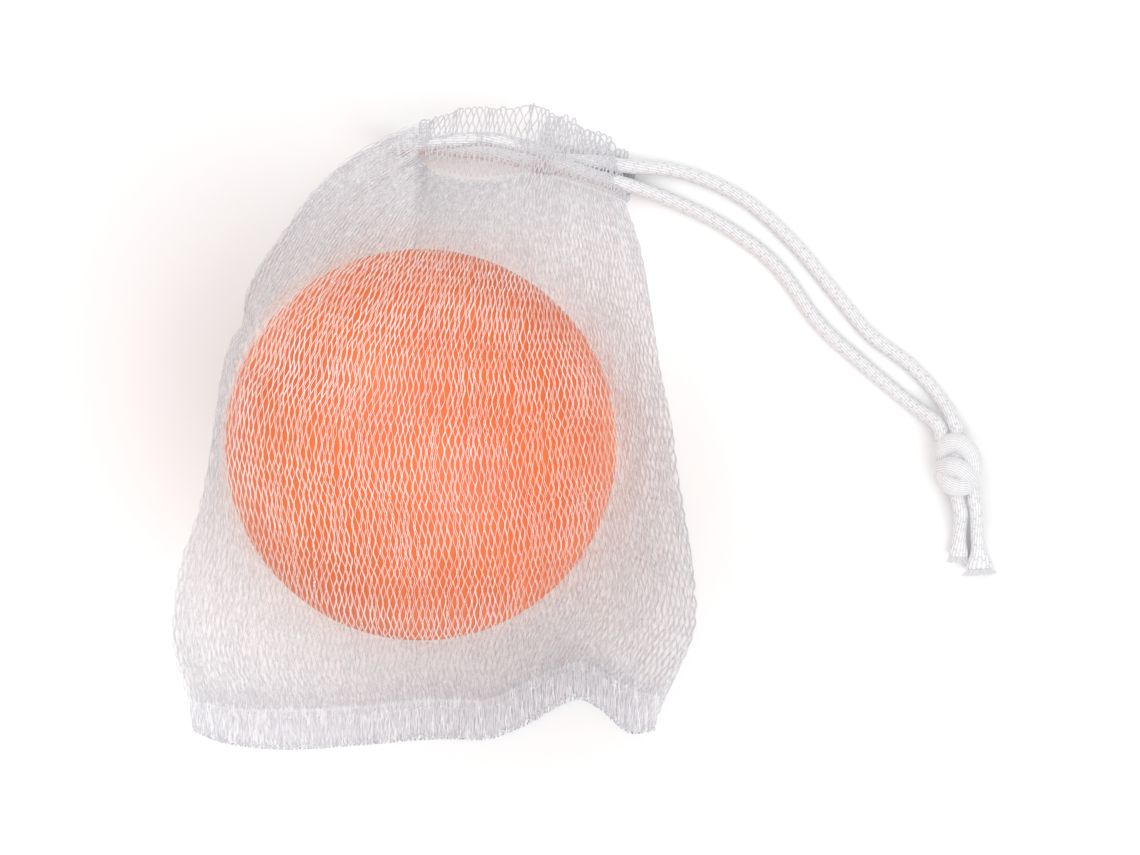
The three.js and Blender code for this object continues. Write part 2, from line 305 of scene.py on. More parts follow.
# ---- Tubes ----
def upright_frames(path):
    """Unit side and upward directions at each point of a path, turned as little as possible along it."""
    tangent = np.gradient(path, axis=0)
    tangent /= np.linalg.norm(tangent, axis=1)[:, None]
    side = np.cross(tangent[0], (0, 0, 1.0))
    side /= np.linalg.norm(side)
    sides = [side]
    for t in tangent[1:]:
        side = sides[-1] - t * (sides[-1] @ t)
        sides.append(side / np.linalg.norm(side))
    sides = np.array(sides)
    return sides, np.cross(sides, tangent)


def tube_faces(rings, around):
    """The quads of a tube of rings, each with so many points around."""
    ring = np.arange(rings - 1)[:, None] * around
    k = np.arange(around)
    nxt = (k + 1) % around
    quads = np.stack([ring + k, ring + nxt, ring + around + nxt, ring + around + k], axis=-1)
    return quads.reshape(-1, 4).tolist()


def braided_tube(name, path, radius, material, body, widen=None, rise=None, bundles=16, broken=0.8):
    """A satin cord: bundles of filaments that run lengthwise, broken up like courses of bricks.

    widen and rise give its width and height as shares of the plain cord's, from the place along it, 0 to 1.
    broken is how deep the gaps between one brick and the next are. Returns the piece and its centre line.
    """
    around = bundles * 5
    brick = 2.3 * MM
    count = max(24, int(length_of(path) / (0.22 * MM)))
    path = evenly(path, count)
    side, up = upright_frames(path)
    along = np.linspace(0, length_of(path), count)[:, None]
    angle = (np.arange(around) / around * 2 * math.pi)[None, :]
    turn = angle * bundles / (2 * math.pi) + 0.5 * along / brick
    bundle = np.floor(turn)
    across = np.abs(2 * (turn - bundle) - 1)
    course = along / brick + 0.5 * (bundle % 2) + 0.17 * np.sin(bundle * 2.4)
    end = np.abs(2 * (course - np.floor(course)) - 1)
    height = (1 - across**4) * (1 - broken * end**10)
    width = np.ones(count) if widen is None else widen(np.linspace(0, 1, count))
    rough = radius * (0.93 + 0.09 * height)
    tall = width if rise is None else rise(np.linspace(0, 1, count))
    ring_side = side[:, None, :] * (np.cos(angle) * rough * width[:, None])[..., None]
    ring_up = up[:, None, :] * (np.sin(angle) * rough * tall[:, None])[..., None]
    points = (path[:, None, :] + ring_side + ring_up).reshape(-1, 3)
    faces = tube_faces(count, around)
    points = np.vstack([points, path[0], path[-1]])
    first, last = len(points) - 2, len(points) - 1
    faces += [[first, (k + 1) % around, k] for k in range(around)]
    base = (count - 1) * around
    faces += [[last, base + k, base + (k + 1) % around] for k in range(around)]
    # The bundles' height, lowest in the gaps between bundles and bricks, sets the cord's painted groove
    # shade; the end caps get one middle value.
    groove_shade = np.concatenate([height.ravel(), [0.4, 0.4]])
    piece = add_mesh(name, points, faces, material)
    set_attribute(piece, "groove_shade", groove_shade)
    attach(piece, body)
    return piece, path


# ---- The drawcord ----
# The route of each stretch in millimetres, as in the CAD model.
LOOP = [
    (26.7, 53.2, 6.3), (24.3, 54, 7.1), (22.9, 55.7, 9), (18, 57, 12.25), (11, 58.1, 13.25),
    (0.1, 56.9, 13.25), (-3.7, 56.5, 11.7), (-5.3, 56.4, 7.85), (-3.7, 56.5, 4), (0.1, 56.9, 2.45),
    (10.8, 55.9, 2.45), (19.4, 54.4, 2.45), (24, 54.6, 2.45), (26.7, 54.4, 2.45),
]
UPPER_RUN = [
    (27, 54.4, 2.45), (33, 54.1, 2.45), (39, 53.3, 2.45), (48.9, 52.3, 1.45), (60.4, 47.5, 1.45),
    (70.1, 39.2, 1.45), (79.7, 27.7, 1.45), (85.4, 21, 1.45), (93.1, 15.2, 1.45), (98.6, 9.1, 1.8),
    (101.3, 4.2, 4), (102, 1.6, 4),
]
LOWER_RUN = [
    (27, 53.1, 6.2), (33, 51.2, 4.2), (39, 49.7, 2.6), (48.5, 46.3, 1.45), (58.5, 41.2, 1.45),
    (67.2, 34.4, 1.45), (75.8, 22.9, 1.45), (85.4, 14.2, 1.45), (92.6, 8.2, 1.45), (98.4, 3.5, 4),
    (99.1, 0.8, 4),
]
TUCKED = 3  # points of each run that lie inside the mouth
INSIDE_RUNS = 12.5 * MM  # length of each end of the loop that goes on inside a run


def route(points, count=200):
    """The route as an even path in metres that stays on top of the table."""
    path = through(np.array(points) * MM, count)
    path[:, 2] = np.maximum(path[:, 2], 1.04 * CORD_DIAMETER / 2)
    return path


def make_cords(satin):
    """The two free runs and the loop between them. Returns each run with its centre line."""
    upper, upper_path = braided_tube("cord_upper", route(UPPER_RUN), CORD_DIAMETER / 2, satin, "drawcord")
    lower, lower_path = braided_tube("cord_lower", route(LOWER_RUN), CORD_DIAMETER / 2, satin, "drawcord")
    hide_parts("cord_run_upper")
    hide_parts("cord_run_lower")
    whole = LOWER_RUN[:TUCKED][::-1] + LOOP[1:-1] + UPPER_RUN[:TUCKED]
    path = route(whole, 400)
    tucked = INSIDE_RUNS / length_of(path)

    def slimmer(t):
        """The loop's ends lie inside the runs, so that no gap shows at rest. At full pull they come out."""
        return 1 - 0.14 * np.maximum(t < tucked, t > 1 - tucked)

    loop, _ = braided_tube("cord_in_mouth", path, CORD_DIAMETER / 2, satin, "bag", widen=slimmer)
    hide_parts("drawcord_loop")
    return (upper, upper_path), (lower, lower_path)


# ---- The net pouch's shape ----
# Its plan, as four edges of points in millimetres: the top of the hem, both sides and the line
# where the cord gathers the mouth. The mouth line dips where only the front frill covers it.
HEM_LINE = [
    (-45.5, -49.5), (-38, -51), (-29, -51.5), (-14, -51), (2, -49.6), (12, -49.6), (18, -47.2), (25.5, -43.6),
    (29.5, -42.4), (33.5, -43.8), (39.5, -47.4), (46, -48.8),
]
LEFT_SIDE = [
    (-45.5, -49.5), (-48.4, -40), (-48.7, -34), (-47.2, -23.5), (-44, -13), (-42.2, -6), (-40.6, 4.6),
    (-39.2, 14.2), (-37.4, 20.5), (-35.2, 23.6), (-34.9, 28), (-31.8, 34.6), (-27.2, 41.4), (-22.6, 47.6),
    (-16.8, 53.2), (-12.4, 56.2), (-8.5, 58), (-4, 60), (-0.8, 61.2),
]
RIGHT_SIDE = [
    (46, -48.8), (48.7, -43.4), (51, -38.2), (52.3, -32), (51.6, -25), (50.3, -16), (48.8, -7), (47.2, 4.6),
    (45.2, 14.2), (43.2, 27), (41.4, 37.5), (39.6, 43), (38.6, 45.4), (38.4, 46.6),
]
MOUTH_LINE = [
    (-0.8, 61.2), (-1.4, 58.6), (-1.2, 55.6), (0.6, 53), (3, 51.4), (6, 50.6), (10, 50.2), (14, 50.6),
    (19, 51.6), (24, 51.2), (30, 49.6), (35, 47.8), (38.4, 46.6),
]
# The hem's folded edge, level with the points of the hem line one for one.
HEM_EDGE = [
    (-44.7, -55), (-38.6, -57.4), (-28, -58.6), (-14, -57.9), (2, -56.6), (12, -56.6), (18.4, -54.4),
    (25.8, -50.2), (29.7, -49), (33.5, -50.8), (39, -55.4), (43.8, -55),
]
# The frill, from where it leaves the mouth line to its free edge, one for one from left to right.
FRILL_ROOT = [
    (-1, 60), (-0.6, 57), (0.8, 54), (3.4, 52), (6.4, 51), (10.2, 50.6), (15, 51), (20, 51.8), (25, 51.2),
    (30, 49.8), (34.6, 48), (38.2, 46.8),
]
FRILL_EDGE = [
    (-0.8, 61.2), (1, 61.2), (3, 61.8), (5.2, 62.8), (8, 63.5), (11.6, 63.6), (16.4, 63.6), (21.8, 64),
    (27.2, 61.2), (32.6, 58.3), (36.6, 54.6), (38.8, 48.4),
]
# The part of the back frill that stays spread out, at the right.
BACK_ROOT = [(20, 50.5), (25, 51.5), (30, 50.4), (35, 49), (39, 46)]
BACK_EDGE = [(22.5, 62), (26.5, 61.8), (31, 59.6), (37, 56), (40.4, 51)]
# How high the front lip stands, as points of (x, y, height) round the mouth.
LIP = [
    (-27, 41.4, 0.8), (-16.8, 53.2, 2.6), (-10, 57, 7.5), (-6, 59, 12.5), (-1, 60, 15.6), (15, 57, 15.4),
    (21, 56, 13.4), (29, 54, 9), (38.9, 49.8, 5), (39, 45, 3), (41.4, 37.5, 0.8),
]
# The hem's section, from above its line over the fold and back underneath: how far down, as a share of its
# width, and how high, as a share of its thickness.
HEM_SECTION = [
    (-0.12, 0.75), (0.06, 0.95), (0.25, 1.0), (0.45, 1.0), (0.66, 0.98), (0.84, 0.9), (0.95, 0.74),
    (1.0, 0.5), (0.95, 0.26), (0.82, 0.17), (0.6, 0.16), (0.3, 0.16), (0.0, 0.16),
]
HEM_TOP = 1.9 * MM  # how high the doubled hem stands
HEM_RIBS = 224
LIP_FALL = 2 * MM  # how far the frill droops from the cord to its edge
WALES = 188  # zigzag yarns across a layer
ROWS = 56  # half meshes from the hem to the mouth line
FILAMENT = 0.08 * MM  # half the thickness of a filament of the layers' yarns
FRILL_YARN = 0.16 * MM  # half the thickness of the frill's yarns
SWING = 0.38  # how far a yarn swings to each side, as a share of the spacing
JOIN = 0.13  # half the length of a join, as a share of a half mesh
TABLE_NET = 0.3 * MM  # height of the back layer's yarns above the table
BOUNCE_LIGHT_REACH = 3 * MM  # over this distance from the ball the yarns lose most of the painted warm bounce light from it


class Drape:
    """Height of the front layer over any point of the plan.

    Round the ball it lies on the ball. It leaves the ball along a tangent, and falls in a slack curve to the
    pouch's edge, which is on the table except at the lip.
    """

    ANGLES, STEPS = 720, 240

    def __init__(self, radius, slack):
        onward = [through(np.array(p) * MM, 120)[:-1] for p in (HEM_LINE, RIGHT_SIDE)]
        backward = [through(np.array(p) * MM, 120)[::-1][:-1] for p in (MOUTH_LINE, LEFT_SIDE)]
        outline = np.vstack(onward + backward)
        bearing = np.arctan2(outline[:, 1], outline[:, 0])
        order = np.argsort(bearing)
        self.angles = np.linspace(-math.pi, math.pi, self.ANGLES)
        reaches = np.hypot(outline[order, 0], outline[order, 1])
        self.edge = np.interp(self.angles, bearing[order], reaches, period=2 * math.pi)
        lip = np.array(LIP) * MM
        lip_bearing = np.arctan2(lip[:, 1], lip[:, 0])
        order = np.argsort(lip_bearing)
        self.lift = np.interp(self.angles, lip_bearing[order], lip[order, 2])
        self.height = np.empty((self.ANGLES, self.STEPS))
        for i, (reach, low) in enumerate(zip(self.edge, self.lift)):
            self.height[i] = self.rib(reach, low, radius, slack)

    def rib(self, reach, low, radius, slack):
        """Heights from straight over the ball's centre out to the edge, at even steps of plan distance."""
        fall = BALL_Z - low
        touch = math.pi - math.atan2(reach, fall) - math.acos(min(1, radius / math.hypot(reach, fall)))
        leave = touch + slack * max(0.0, math.pi / 2 - touch)
        start = np.array([radius * math.sin(leave), BALL_Z + radius * math.cos(leave)])
        down = np.array([math.cos(leave), -math.sin(leave)])
        knee = start + down * 0.8 * (start[1] - low) / max(0.2, -down[1])
        s = np.linspace(0, 1, 60)[:, None]
        curve = (1 - s) ** 2 * start + 2 * s * (1 - s) * knee + s**2 * np.array([reach, low])
        on_ball = np.linspace(0, leave, 60, endpoint=False)
        out = np.concatenate([radius * np.sin(on_ball), curve[:, 0]])
        up = np.concatenate([BALL_Z + radius * np.cos(on_ball), curve[:, 1]])
        return np.interp(np.linspace(0, reach, self.STEPS), np.maximum.accumulate(out), up)

    def at(self, x, y):
        """Heights over points of the plan."""
        bearing = np.arctan2(y, x)
        a = (bearing + math.pi) / (2 * math.pi) * (self.ANGLES - 1)
        i = np.clip(a.astype(int), 0, self.ANGLES - 2)
        f = a - i
        reach = self.edge[i] * (1 - f) + self.edge[i + 1] * f
        b = np.clip(np.hypot(x, y) / reach, 0, 1) * (self.STEPS - 1)
        j = np.clip(b.astype(int), 0, self.STEPS - 2)
        g = b - j
        h = self.height
        near = h[i, j] * (1 - g) + h[i, j + 1] * g
        far = h[i + 1, j] * (1 - g) + h[i + 1, j + 1] * g
        return near * (1 - f) + far * f


class Layer:
    """One layer of the pouch: where a point at (across, along) lies, both from 0 to 1."""

    NU, NV = 161, 161
    RISE = 0.25  # how much a slope counts when the yarns share out the width

    def __init__(self, height):
        self.height = height
        u = np.linspace(0, 1, self.NU)
        v = np.linspace(0, 1, self.NV)
        u, v = np.meshgrid(u, v, indexing="ij")
        x, y = self.plan(u, v)
        for _ in range(2):
            u = self.shared(u, x, y, axis=0)
            x, y = self.plan(u, v)
            v = self.shared(v, x, y, axis=1)
            x, y = self.plan(u, v)
        self.x, self.y = x, y

    def plan(self, u, v):
        """A patch stretched between the four edges."""
        hem, mouth, left, right = (
            through(np.array(p) * MM, 400) for p in (HEM_LINE, MOUTH_LINE, LEFT_SIDE, RIGHT_SIDE)
        )
        grid = np.linspace(0, 1, 400)
        out = []
        for k in (0, 1):
            low, high = np.interp(u, grid, hem[:, k]), np.interp(u, grid, mouth[:, k])
            west, east = np.interp(v, grid, left[:, k]), np.interp(v, grid, right[:, k])
            corners = (
                (1 - u) * (1 - v) * hem[0, k] + u * (1 - v) * hem[-1, k]
                + (1 - u) * v * mouth[0, k] + u * v * mouth[-1, k]
            )
            out.append((1 - v) * low + v * high + (1 - u) * west + u * east - corners)
        return out

    def shared(self, value, x, y, axis):
        """The coordinate again, spaced evenly by the distance along the draped cloth."""
        dx, dy, dz = (np.diff(each, axis=axis) for each in (x, y, self.height(x, y)))
        along = np.cumsum(np.sqrt(dx**2 + dy**2 + (self.RISE * dz) ** 2), axis=axis)
        zero = np.zeros_like(np.take(along, [0], axis=axis))
        along = np.concatenate([zero, along], axis=axis)
        out = np.empty_like(value)
        for k in range(value.shape[1 - axis]):
            pick = (slice(None), k) if axis == 0 else (k, slice(None))
            wanted = np.linspace(0, along[pick][-1], value.shape[axis])
            out[pick] = np.interp(wanted, along[pick], value[pick])
        return out

    def at(self, u, v):
        """Points (x, y, z) on the layer."""
        a = np.clip(u, 0, 1) * (self.NU - 1)
        b = np.clip(v, 0, 1) * (self.NV - 1)
        i = np.clip(a.astype(int), 0, self.NU - 2)
        j = np.clip(b.astype(int), 0, self.NV - 2)
        f, g = a - i, b - j
        found = []
        for grid in (self.x, self.y):
            low = grid[i, j] * (1 - g) + grid[i, j + 1] * g
            high = grid[i + 1, j] * (1 - g) + grid[i + 1, j + 1] * g
            found.append(low * (1 - f) + high * f)
        x, y = found
        return np.stack([x, y, self.height(x, y)], axis=-1)


# ---- Net yarns ----
def yarn_mesh(name, paths, radius, material, body, sides=4):
    """Thin tubes along many paths of the same number of points, as one mesh."""
    paths = np.asarray(paths)
    yarns, count, _ = paths.shape
    tangent = np.gradient(paths, axis=1)
    tangent /= np.linalg.norm(tangent, axis=2)[..., None]
    no_yarns_way = np.array([0.11, 0.07, 0.99])
    side = np.cross(tangent, no_yarns_way)
    side /= np.linalg.norm(side, axis=2)[..., None]
    up = np.cross(side, tangent)
    angle = (np.arange(sides) + 0.5) / sides * 2 * math.pi
    ring = side[:, :, None, :] * np.cos(angle)[:, None] + up[:, :, None, :] * np.sin(angle)[:, None]
    points = paths[:, :, None, :] + radius * ring
    faces = np.array(tube_faces(count, sides))
    faces = (np.arange(yarns)[:, None, None] * count * sides + faces).reshape(-1, 4)
    piece = add_mesh(name, points.reshape(-1, 3), faces.tolist(), material)
    lay_out(piece, yarns, count, sides)
    # How near each point lies to the ball: this sets how much painted bounce light from the ball its yarn
    # gets.
    to_ball = np.linalg.norm(points - np.array([0, 0, BALL_Z]), axis=-1) - BALL_RADIUS
    set_attribute(piece, "ball_bounce_mask", np.exp(-np.maximum(to_ball, 0) / BOUNCE_LIGHT_REACH))
    piece.visible_shadow = False  # clear filament hardly shades what lies under it
    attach(piece, body)
    return piece


def lay_out(piece, yarns, count, sides):
    """A UV map for baking: one narrow column for each side of each yarn."""
    column = np.arange(yarns)[:, None, None] * sides + np.arange(sides)[None, None, :]
    row = np.arange(count - 1)[None, :, None]
    u = np.stack([column + 0 * row + step for step in (0, 1, 1, 0)], axis=-1) / (yarns * sides)
    v = np.stack([row + 0 * column + step for step in (0, 0, 1, 1)], axis=-1) / (count - 1)
    layer = piece.data.uv_layers.new(name="OFBake")
    layer.data.foreach_set("uv", np.stack([u, v], axis=-1).astype(np.float32).ravel())


def wander(count, waves, size):
    """Smooth random drift along a line of count points."""
    t = np.linspace(0, 1, count)
    return sum(
        size / k * np.sin(2 * math.pi * (k * t + phase))
        for k, phase in zip(waves, rng.random(len(waves)))
    )


def ripple(u, v, size):
    """Soft gathers that grow from the ball towards the mouth."""
    folds = np.sin(2 * math.pi * (12 * u + 0.7 * np.sin(5 * u) + 0.4 * v))
    folds += 0.5 * np.sin(2 * math.pi * (23 * u - 0.8 * v))
    return size * smoothstep(v, 0.74, 0.98) * (folds + 1.5) / 3


def bunching(u, v):
    """Yarns crowd together here and part there, and the right end of the mouth is left open."""
    crowd = 0.0014 * np.sin(2 * math.pi * (9 * u + 4.2 * v))
    crowd += 0.001 * np.sin(2 * math.pi * (17 * u - 7.1 * v + 0.3))
    return crowd - 0.05 * smoothstep(v, 0.78, 1.0) * np.sin(math.pi * np.clip(u, 0, 1)) ** 2


def zigzag(rows, join):
    """The places of a zigzag yarn's turns, in rows, and the side that it is on at each."""
    marks = np.arange(rows + 1)
    turns = np.clip(np.stack([marks - join, marks + join], axis=1).ravel()[1:-1], 0, rows)
    return turns, np.repeat((-1.0) ** marks, 2)[1:-1]


def layer_paths(layer, shift, gathers, gather_shift):
    """The yarns of one layer, of one and of two loose filaments by turns.

    Neighbours swing against each other and are knitted together at every half mesh. shift moves the yarns
    across by a share of their spacing. gathers is the height of the gathers, and gather_shift moves those
    across by a share of the layer's width.
    """
    turns, sway = zigzag(ROWS, JOIN)
    paths = []
    for i in range(WALES):
        drift = wander(len(turns), (1, 2, 5, 9), 0.24)
        u = (i + 0.5 + shift + SWING * (-1) ** i * sway + drift) / WALES
        u += bunching(u, turns / ROWS)
        v = (turns + 0.25 * wander(len(turns), (3, 7), 1.0) + 0.22 * np.sin(0.9 * turns + 3 * u)) / ROWS
        apart = (0.2 + wander(len(turns), (2, 5, 11, 23), 0.16)) / WALES
        for side in (-1, 1) if i % 2 else (0,):
            p = layer.at(u + side * apart, v)
            p[:, 2] += ripple(u + gather_shift, v, gathers)
            paths.append(p)
    return np.array(paths)


def knit(low, high, count, rows, drift_size, shape=None):
    """Zigzag yarns from one edge, a path, to another. shape adjusts each yarn's points."""
    swing, join = 0.4, 0.12
    grid = np.linspace(0, 1, len(low))
    turns, sway = zigzag(rows, join)
    v = turns / rows
    paths = []
    for i in range(count):
        u = (i + 0.5 + swing * (-1) ** i * sway + wander(len(turns), (1, 2, 4), drift_size)) / count
        start = np.stack([np.interp(u, grid, low[:, k]) for k in range(3)], axis=1)
        end = np.stack([np.interp(u, grid, high[:, k]) for k in range(3)], axis=1)
        path = start * (1 - v)[:, None] + end * v[:, None]
        paths.append(shape(path, u, v) if shape else path)
    return np.array(paths)


def picots(paths, swell, height):
    """Small arches that close the open meshes along a knitted edge. Meshes pulled shut get none."""
    arches = []
    for a, b in zip(paths[:-1], paths[1:]):
        left, right = a[-1], b[-1]
        if np.linalg.norm(right - left) < 0.5 * MM:
            continue
        out = (a[-1] - a[-3]) + (b[-1] - b[-3])
        out /= np.linalg.norm(out)
        t = np.linspace(0, math.pi, 9)[:, None]
        middle, half = (left + right) / 2, (right - left) / 2
        spread = 1 + (swell - 1) * np.sin(t)
        rise = out * height * (0.6 + 0.8 * rng.random())
        arches.append(middle - half * np.cos(t) * spread + rise * np.sin(t))
    return np.array(arches)


def paired(low, high, low_height, high_height):
    """Two plan lines whose points belong together, as paths in metres at their heights."""
    both = through(np.hstack([low, high]) * MM, 400)
    level = np.ones(400)
    low_path = np.column_stack([both[:, :2], low_height * level])
    return low_path, np.column_stack([both[:, 2:], high_height * level])


def lip_height(path, drape):
    """The same path, lifted to the lip's height."""
    bearing = np.arctan2(path[:, 1], path[:, 0])
    return np.column_stack([path[:, :2], np.interp(bearing, drape.angles, drape.lift)])


def make_net(yarn):
    """The pouch's two layers. Returns the drape as well, which the frill follows."""
    drape = Drape(BALL_RADIUS + FILAMENT + 0.3 * MM, 0.35)
    front = Layer(drape.at)
    back = Layer(lambda x, y: np.full_like(x, TABLE_NET))
    front_paths = layer_paths(front, shift=0.0, gathers=2.2 * MM, gather_shift=0.0)
    back_paths = layer_paths(back, shift=0.3, gathers=0.6 * MM, gather_shift=0.03)
    front_piece = yarn_mesh("net_front_knit", front_paths, FILAMENT, yarn, "bag", sides=3)
    back_piece = yarn_mesh("net_back_knit", back_paths, FILAMENT, yarn, "bag", sides=3)
    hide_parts("net_front")
    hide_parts("net_back")
    return drape, front_piece, back_piece


def make_frill(yarn, drape):
    """The ruffle beyond the cord, in front and, flatter, behind."""
    low, high = (lip_height(line, drape) for line in paired(FRILL_ROOT, FRILL_EDGE, 0, 0))
    high[:, 2] = np.maximum(0.5 * MM, high[:, 2] - LIP_FALL)

    def ruffle(p, u, v):
        """Soft folds that grow towards the free edge, and one tight tuck in the middle."""
        fold = np.sin(2 * math.pi * (5.5 * u + 0.6 * np.sin(4 * u)))
        tuck = np.exp(-(((u - 0.5) / 0.02) ** 2))
        p[:, 0] += (0.45 * fold * v - 1.3 * tuck * (u - 0.5) / 0.02) * MM
        p[:, 2] += (0.5 * fold * v + 1.2 * tuck) * MM
        p[:, 2] = np.maximum(p[:, 2], 0.4 * MM)
        return p

    paths = knit(low, high, count=92, rows=7, drift_size=0.25, shape=ruffle)
    front = yarn_mesh("frill_front_knit", paths, FRILL_YARN, yarn, "bag")
    loops = yarn_mesh("frill_front_picots", picots(paths, 1.2, 0.7 * MM), FRILL_YARN, yarn, "bag")
    flat_low, flat_high = paired(BACK_ROOT, BACK_EDGE, TABLE_NET, TABLE_NET)
    paths = knit(flat_low, flat_high, count=44, rows=6, drift_size=0.3)
    behind = yarn_mesh("frill_back_knit", paths, FRILL_YARN, yarn, "bag")
    more_loops = yarn_mesh("frill_back_picots", picots(paths, 1.5, 1.4 * MM), FRILL_YARN, yarn, "bag")
    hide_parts("frill_front")
    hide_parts("frill_back")
    return front, loops, behind, more_loops


def make_hem(yarn):
    """The net turned under: close ribs, looped edging by the fold, and a row of stitches near the top."""
    top, edge = paired(HEM_LINE, HEM_EDGE, HEM_TOP, HEM_TOP / 2)
    hem = yarn_mesh("hem_knit", hem_ribs(top, edge), 0.14 * MM, yarn, "bag")
    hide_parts("bottom_hem")
    chains = [chain(top, edge, share, swing=0.42, pitch=1.3) for share in (0.88, 0.95)]
    edging = yarn_mesh("hem_edging", chains, 0.15 * MM, yarn, "bag")
    stitches = [chain(top, edge, share=0.12, swing=0.2, pitch=2.2)]
    stitch = yarn_mesh("hem_stitch_yarn", stitches, 0.13 * MM, yarn, "bag", sides=6)
    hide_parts("hem_stitch")
    return hem, edging, stitch


def hem_ribs(top, edge):
    """Yarns that run down over the hem, round its fold and back underneath."""
    grid = np.linspace(0, 1, len(top))
    scallop = wander(HEM_RIBS, (9, 14, 31), 0.9)
    down, height = np.array(HEM_SECTION).T
    paths = []
    for i in range(HEM_RIBS):
        sway = 0.3 * (-1.0) ** (i + np.arange(len(down)))
        u = (i + 0.5 + sway + wander(len(down), (1, 2), 0.3)) / HEM_RIBS
        reach = down * (1 + 0.04 * scallop[i] * (down > 0.5))
        reach[:2] -= 0.55 * rng.random() * np.array([1, 0.4])
        start = np.stack([np.interp(u, grid, top[:, k]) for k in (0, 1)], axis=1)
        end = np.stack([np.interp(u, grid, edge[:, k]) for k in (0, 1)], axis=1)
        plan = start + (end - start) * reach[:, None]
        paths.append(np.column_stack([plan, HEM_TOP * height]))
    return paths


def chain(top, edge, share, swing, pitch):
    """A looping thread along the hem, share of the way down. swing and pitch are in millimetres."""
    line = top * (1 - share) + edge * share
    line[:, 2] = HEM_TOP * (1.0 if share < 0.9 else 0.8) + FILAMENT
    path = evenly(line, 480)
    along = np.linspace(0, length_of(line), len(path)) / (pitch * MM) * 2 * math.pi
    step = np.gradient(path, axis=0)
    across = np.column_stack([-step[:, 1], step[:, 0], np.zeros(len(path))])
    across /= np.linalg.norm(across, axis=1)[:, None]
    step /= np.linalg.norm(step, axis=1)[:, None]
    sway = across * np.sin(along)[:, None] * swing * MM
    curl = step * np.sin(2 * along)[:, None] * 0.35 * swing * MM
    lift = np.array([0, 0, 0.15 * MM]) * np.cos(along)[:, None]
    return path + sway + curl + lift


# ---- The ball ----
def half_skin(name, side, node, material):
    """Half of the moulded cover, with a rounded lip at the seam and the faint unevenness of a moulding."""
    around = 160
    lip = 0.5 * MM
    dent = 0.05 * MM
    angles = np.concatenate([np.linspace(90, 4, 44), [2.6, 1.5, 0.8, 0.35, 0.15]]) * math.pi / 180
    depth = lip * np.maximum(0, 1 - angles / math.radians(1.2)) ** 2
    turn = np.arange(around) / around * 2 * math.pi
    rings = []
    for angle, sink in zip(angles[1:], depth[1:]):
        radius = BALL_RADIUS - sink
        x, y = radius * math.cos(angle) * np.cos(turn), radius * math.cos(angle) * np.sin(turn)
        rings.append(np.stack([x, y, np.full(around, side * radius * math.sin(angle))], axis=1))
    points = np.vstack([np.concatenate(rings), [[0, 0, side * BALL_RADIUS]]])
    dents = [noise.noise(Vector(p) * 90) * dent for p in points]
    points -= points / BALL_RADIUS * (dent + np.array(dents))[:, None]
    points[:, 2] += BALL_Z
    faces = tube_faces(len(rings), around)
    top = len(points) - 1
    faces += [[top, (k + 1) % around, k] for k in range(around)]
    if side < 0:
        faces = [face[::-1] for face in faces]
    piece = add_mesh(name, points, faces, material)
    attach(piece, "ball")
    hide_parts(node)
    return piece


def make_ball():
    """The two halves of the cover, and a cork look for the CAD model's core."""
    skin = ball_material()
    half_skin("ball_skin_upper", 1, "ball_cover_upper", skin)
    half_skin("ball_skin_lower", -1, "ball_cover_lower", skin)
    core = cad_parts["ball_core"]
    core.data.materials.clear()
    core.data.materials.append(cork_material())


# ---- Knot and tails ----
# The knot's turns, as routes in millimetres: the top lobe, the band across the front, the lower lobe and the
# turn behind them.
KNOT_TURNS = [
    [
        (100.3, -3.6, 2.6), (99.4, -0.7, 4.2), (101.6, 0.3, 5.2), (103.9, -1.2, 5), (104.9, -3.8, 4.4),
        (104.6, -6.2, 3.4), (102.5, -7.2, 2.4),
    ],
    [
        (100.8, -5.6, 2), (99.4, -4.9, 3.6), (100.4, -4.3, 5.5), (102.2, -4.7, 6), (104, -6, 5),
        (104.6, -7, 3.3), (103, -6.2, 2.1),
    ],
    [
        (103.2, -4.6, 2), (104.3, -6.8, 3.4), (102.9, -8, 5), (100.9, -7.8, 5.3), (99.5, -6.6, 4.2),
        (99.4, -5.2, 2.9), (100.8, -4.6, 2),
    ],
    [(100.8, -0.6, 3.2), (102, -2.6, 3.7), (102.8, -4.8, 3.8), (103, -7.6, 3.2)],
]
KNOT_TURN_RADIUS = 1.9 * MM
FRAY_HAIRS = 260
# Each tail's route, and how much wider its end opens, as a share of the cord's width.
TAILS = {
    "tail_left": (
        [(101.4, -8, 4), (102, -10.4, 4), (102.6, -13, 4), (102.5, -16.3, 2.2), (102.3, -21.5, 1.5)], 0.4,
    ),
    "tail_right": (
        [(104.2, -7, 4), (104.9, -9.6, 4), (105.5, -12.3, 4), (105.9, -16.8, 2), (106.4, -23.9, 1.5)], 0.9,
    ),
}


def make_knot(satin):
    """Four fat turns of cord, each of both runs side by side."""
    turns = []
    for i, points in enumerate(KNOT_TURNS):
        turn, _ = braided_tube(
            f"knot_turn_{i + 1}", route(points), KNOT_TURN_RADIUS, satin, "drawcord", bundles=26, broken=0.15
        )
        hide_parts("knot")
        turns.append(turn)
    return turns


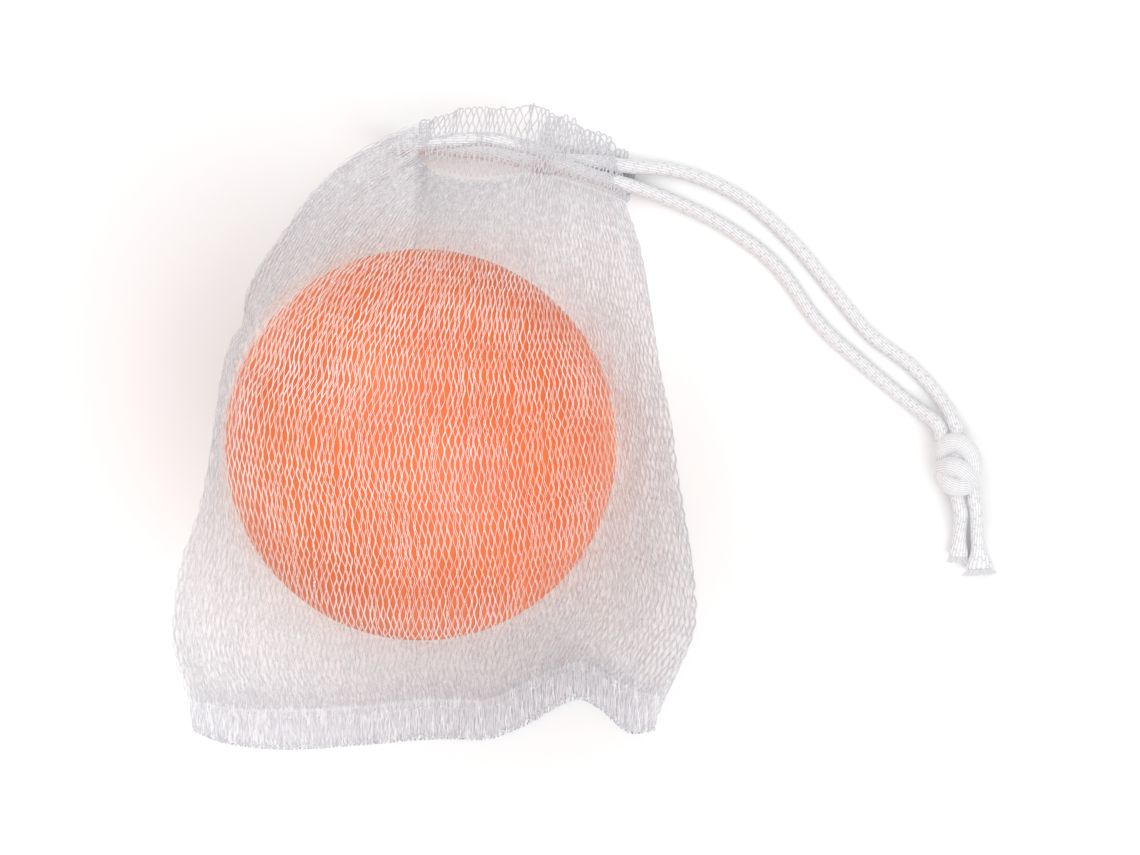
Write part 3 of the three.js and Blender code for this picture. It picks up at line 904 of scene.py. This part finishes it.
def make_tails(satin):
    """The two cut ends. Each opens out in a fan of loose filaments, the right one wider."""
    pieces = []
    for name, (points, spread) in TAILS.items():
        tail, path = braided_tube(
            name + "_braid", route(points), CORD_DIAMETER / 2, satin, "drawcord",
            widen=lambda t: 1 + spread * smoothstep(t, 0.7, 1.0) ** 1.5,
            rise=lambda t: 1 - 0.3 * smoothstep(t, 0.7, 1.0),
        )
        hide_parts(name)
        pieces += [tail, fray(name + "_fray", path, spread, satin)]
    return pieces


def fray(name, path, spread, satin):
    """Loose filaments at a cut end, which fan out and curl. Directions here are in millimetres."""
    end = path[-1]
    out = path[-1] - path[-6]
    out /= np.linalg.norm(out)
    side = np.cross(out, (0, 0, 1.0))
    side /= np.linalg.norm(side)
    up = np.cross(side, out)
    hairs = []
    for _ in range(FRAY_HAIRS):
        turn = rng.random() * 2 * math.pi
        share = math.sqrt(rng.random())
        root = side * math.cos(turn) * 1.3 * (1 + spread) + up * math.sin(turn) * 0.9
        reach = 0.5 + 0.9 * rng.random()
        lean = (side * math.cos(turn) * share * spread + side * (rng.random() - 0.5) * 0.5) * 0.8
        t = np.linspace(-1, 1, 9)[:, None]
        curl = lean * reach * np.maximum(t, 0) ** 2
        hair = end + (root * (share + 0.12 * t) + out * reach * t + curl) * MM
        hair[:, 2] = np.maximum(hair[:, 2], 0.15 * MM)
        hairs.append(hair)
    piece = yarn_mesh(name, hairs, 0.08 * MM, satin, "drawcord")
    # The loose hairs get one even, light value of the painted groove shade.
    set_attribute(piece, "groove_shade", np.full(len(piece.data.vertices), 0.8))
    return piece


satin = cord_material()
make_camera()
(upper_cord, upper_path), (lower_cord, lower_path) = make_cords(satin)
make_light()
make_table()
# The warm colour of the painted light bounced from the orange ball onto the yarns near it.
painted_bounce_light = (0.95, 0.62, 0.51)
# The yarn is white; its plain colours are painted grey, as painted shade, since the net casts no shadows. The
# frill's open yarn is the same yarn painted darker still, as painted shade.
white_yarn = filament_material("net_filament", (0.72, 0.71, 0.74), painted_bounce_light, 0.7)
# The hem's painted glints are drawn out into streaks along y.
hem_yarn = filament_material("net_filament_hem", (0.69, 0.675, 0.715), painted_bounce_light, 0.8, (1, 0.12, 0.3))
shaded_open_yarn = filament_material("net_filament_open_shaded", (0.6, 0.59, 0.62), painted_bounce_light, 0.1)
drape, net_front, net_back = make_net(white_yarn)
frills = make_frill(shaded_open_yarn, drape)
hem_pieces = make_hem(hem_yarn)
knot_turns = make_knot(satin)
tails = make_tails(satin)
make_ball()
